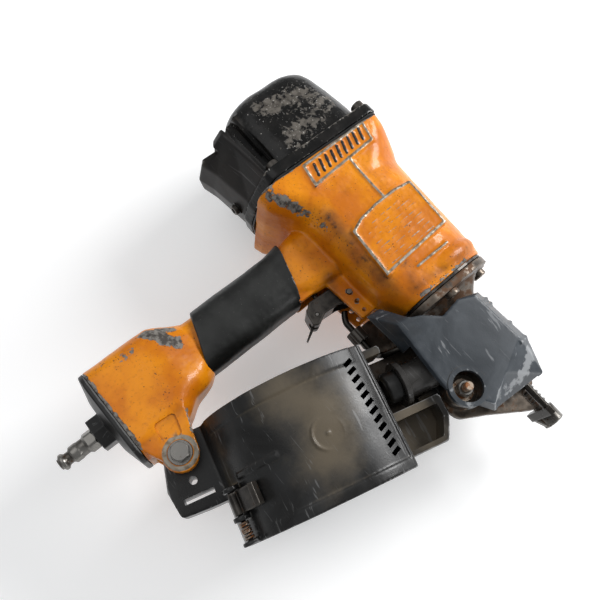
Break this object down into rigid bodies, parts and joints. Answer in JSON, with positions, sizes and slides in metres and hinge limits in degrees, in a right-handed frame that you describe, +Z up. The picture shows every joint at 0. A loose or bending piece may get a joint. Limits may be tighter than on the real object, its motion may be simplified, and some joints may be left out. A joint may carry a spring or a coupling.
{
  "type": "coil roofing nailer",
  "caption": "Pneumatic coil nailer with a cast body, rubber-sleeved handle, tilted round canister, nose with contact arm, and a driver, valves and nail feed inside.",
  "frame": {"origin": "centre of the bounding box in X and Y, on the surface that the tool lies on", "axes": "the tool lies on its left side. +Z is up, away from the floor; +X runs from the air plug toward the front of the barrel; +Y runs from the nose toward the cap"},
  "size_m": [0.3244, 0.3268, 0.1381],
  "materials": {
    "cast_orange": "orange paint over a sand-cast alloy body, pitted and worn through on raised edges",
    "cap_black": "chipped black paint on a cast alloy cap",
    "plastic_black": "scuffed dark grey moulded plastic",
    "rubber_black": "black moulded rubber",
    "steel_bright": "tarnished machined steel",
    "steel_dark": "blackened steel, worn bright at the edges",
    "aluminium_cast": "machined aluminium",
    "seal_rubber": "dull red seal rubber"
  },
  "bodies": {
    "root": {"air_plug": "steel_bright", "bumper": "rubber_black", "cap": "cap_black", "cap_bolt_1": "steel_dark", "cap_bolt_2": "steel_dark", "cap_bolt_3": "steel_dark", "cap_bolt_4": "steel_dark", "cap_gasket": "rubber_black", "contact_spring": "steel_bright", "cylinder_sleeve": "aluminium_cast", "door_pin": "steel_bright", "end_cap": "plastic_black", "end_cap_screw_1": "steel_dark", "end_cap_screw_2": "steel_dark", "exhaust_hood": "cap_black", "feed_cap": "plastic_black", "feed_cylinder": "aluminium_cast", "feed_spring": "steel_bright", "front_nut": "steel_dark", "front_washer": "steel_bright", "grip_sleeve": "rubber_black", "head_valve_spring": "steel_bright", "hinge_pin": "steel_bright", "hood_screw": "steel_dark", "housing": "cast_orange", "latch_spring": "steel_dark", "magazine_bolt_front": "steel_dark", "magazine_bolt_rear": "steel_dark", "magazine_housing": "plastic_black", "nail_guide": "steel_bright", "nose_bolt_1": "steel_dark", "nose_bolt_2": "steel_dark", "nose_bolt_3": "steel_dark", "nose_casting": "steel_dark", "nose_gasket": "steel_bright", "nose_shield": "plastic_black", "platform_post": "plastic_black", "rear_nut": "steel_dark", "rear_washer": "steel_bright", "trigger_pin": "steel_bright", "trigger_spring": "steel_bright", "valve_body": "aluminium_cast", "valve_spring": "steel_bright"},
    "drive_piston": {"piston": "aluminium_cast", "piston_ring": "seal_rubber", "driver_blade": "steel_bright"},
    "head_valve_body": {"head_valve": "plastic_black"},
    "trigger_body": {"trigger": "steel_dark", "lever_pin": "steel_bright"},
    "trip_lever_body": {"trip_lever": "steel_dark"},
    "valve_stem_body": {"valve_stem": "steel_bright"},
    "contact_arm_body": {"contact_arm": "steel_bright"},
    "depth_dial_body": {"depth_dial": "steel_dark"},
    "feed_piston_body": {"feed_piston": "steel_bright"},
    "feed_pawl_body": {"feed_pawl": "steel_dark"},
    "magazine_cover_body": {"magazine_cover": "plastic_black"},
    "nail_platform_body": {"nail_platform": "plastic_black"},
    "nail_door_body": {"nail_door": "steel_dark"},
    "door_latch_body": {"door_latch": "steel_bright"},
    "canister_latch_body": {"canister_latch": "steel_bright"}
  },
  "joints": [
    {"name": "driver_stroke", "type": "slide", "parent": "root", "child": "drive_piston", "axis": [-0.0068, -0.999, -0.0442], "range_m": [0, 0.092]},
    {"name": "head_valve_lift", "type": "slide", "parent": "root", "child": "head_valve_body", "axis": [0.0068, 0.999, 0.0442], "range_m": [0, 0.008], "stiffness_N_per_m": 900, "springref_m": -0.004, "deforming": ["head_valve_spring"]},
    {"name": "trigger_pull", "type": "hinge", "parent": "root", "child": "trigger_body", "pos_m": [0.05687, -0.00123, 0.05898], "axis": [-0.1528, 0.0447, -0.9872], "range_deg": [0, 9], "stiffness_Nm_per_rad": 0.6, "springref_deg": -14.32, "deforming": ["trigger_spring"]},
    {"name": "valve_stem_slide", "type": "slide", "parent": "root", "child": "valve_stem_body", "axis": [0.0068, 0.999, 0.0442], "range_m": [0, 0.0028], "stiffness_N_per_m": 300, "springref_m": -0.004, "deforming": ["valve_spring"]},
    {"name": "trip_lever_pivot", "type": "hinge", "parent": "trigger_body", "child": "trip_lever_body", "pos_m": [0.02971, 0.00127, 0.0633], "axis": [0.1528, -0.0447, 0.9872], "range_deg": [0, 6], "stiffness_Nm_per_rad": 0.05, "springref_deg": -11.46},
    {"name": "contact_arm_slide", "type": "slide", "parent": "root", "child": "contact_arm_body", "axis": [0.0068, 0.999, 0.0442], "range_m": [0, 0.01], "stiffness_N_per_m": 300, "springref_m": -0.012, "deforming": ["contact_spring"]},
    {"name": "depth_dial_turn", "type": "hinge", "parent": "contact_arm_body", "child": "depth_dial_body", "pos_m": [0.04384, -0.0282, 0.05978], "axis": [0.0068, 0.999, 0.0442], "continuous": true},
    {"name": "feed_stroke", "type": "slide", "parent": "root", "child": "feed_piston_body", "axis": [-0.9476, 0.277, 0.1592], "range_m": [0, 0.009], "stiffness_N_per_m": 400, "springref_m": -0.006, "deforming": ["feed_spring"]},
    {"name": "feed_pawl_pivot", "type": "hinge", "parent": "feed_piston_body", "child": "feed_pawl_body", "pos_m": [0.07197, -0.08372, 0.07165], "axis": [-0.2806, -0.9598, 0], "range_deg": [0, 22], "stiffness_Nm_per_rad": 0.02, "springref_deg": -11.46},
    {"name": "magazine_cover_hinge", "type": "hinge", "parent": "root", "child": "magazine_cover_body", "pos_m": [-0.08022, -0.05069, 0.02225], "axis": [0.2806, 0.9598, 0], "range_deg": [0, 100]},
    {"name": "nail_platform_slide", "type": "slide", "parent": "root", "child": "nail_platform_body", "axis": [0.2806, 0.9598, 0], "range_m": [-0.012, 0.012]},
    {"name": "nail_door_hinge", "type": "hinge", "parent": "root", "child": "nail_door_body", "pos_m": [0.07087, -0.09486, 0.03738], "axis": [-0.2806, -0.9598, 0], "range_deg": [0, 110]},
    {"name": "door_latch_turn", "type": "hinge", "parent": "nail_door_body", "child": "door_latch_body", "pos_m": [0.01796, -0.07939, 0.04728], "axis": [-0.1528, 0.0447, -0.9872], "range_deg": [0, 30], "stiffness_Nm_per_rad": 0.05, "springref_deg": -17.19},
    {"name": "canister_latch_turn", "type": "hinge", "parent": "root", "child": "canister_latch_body", "pos_m": [-0.08431, -0.04949, 0.1125], "axis": [-0.2806, -0.9598, 0], "range_deg": [0, 25], "stiffness_Nm_per_rad": 0.3, "springref_deg": -11.46, "deforming": ["latch_spring"]}
  ]
}
